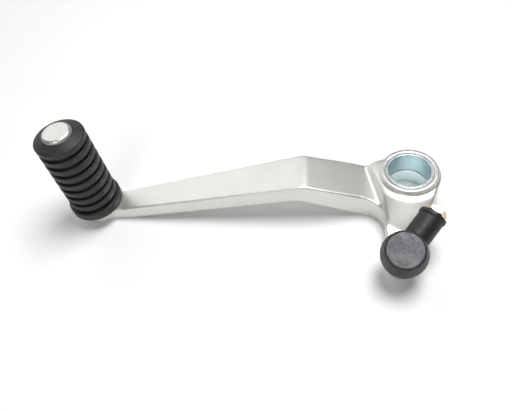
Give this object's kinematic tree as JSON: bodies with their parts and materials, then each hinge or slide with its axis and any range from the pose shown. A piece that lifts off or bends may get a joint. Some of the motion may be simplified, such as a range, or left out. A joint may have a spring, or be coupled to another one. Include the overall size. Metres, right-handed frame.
{
  "type": "motorcycle gear shift lever",
  "caption": "Cranked aluminium foot gear shift lever with steel-bushed pivot, ribbed rubber toe peg and swivelling ball joint for the linkage rod.",
  "frame": {"origin": "on the pivot axis at mid length of the pivot bore", "axes": "+Z along the pivot axis towards the peg side, -X towards the peg, -Y towards the ball joint"},
  "size_m": [0.1569, 0.0581, 0.0487],
  "materials": {
    "satin_aluminium": "bead-blasted satin",
    "zinc_steel": "blue-white zinc plate",
    "button_metal": "smooth satin",
    "black_rubber": "moulded satin",
    "stud_steel": "ground",
    "race_plastic": "moulded",
    "yellow_zinc_steel": "yellow zinc plate",
    "grey_plate": "mottled dark grey phosphate"
  },
  "bodies": {
    "lever": {"lever_arm": "satin_aluminium", "bush_upper": "zinc_steel", "bush_lower": "zinc_steel", "peg_pin": "button_metal", "peg_rubber": "black_rubber", "ball_stud": "stud_steel"},
    "lower_race": {"race_lower": "race_plastic"},
    "upper_race": {"race_upper": "race_plastic"},
    "rod_end": {"socket": "yellow_zinc_steel", "cover_plate": "grey_plate", "dust_cover": "black_rubber"}
  },
  "joints": [
    {"name": "ball_turn", "type": "hinge", "parent": "lever", "child": "lower_race", "pos_m": [-0.0067, -0.037, 0.0051], "axis": [0, -0.225, 0.9744], "continuous": true},
    {"name": "ball_tilt", "type": "hinge", "parent": "lower_race", "child": "upper_race", "pos_m": [-0.0067, -0.037, 0.0051], "axis": [-0.7716, 0.6198, 0.1431], "range_deg": [-7, 14]},
    {"name": "ball_roll", "type": "hinge", "parent": "upper_race", "child": "rod_end", "pos_m": [-0.0067, -0.037, 0.0051], "axis": [0.6313, 0.7188, 0.291], "range_deg": [-12, 12]}
  ]
}
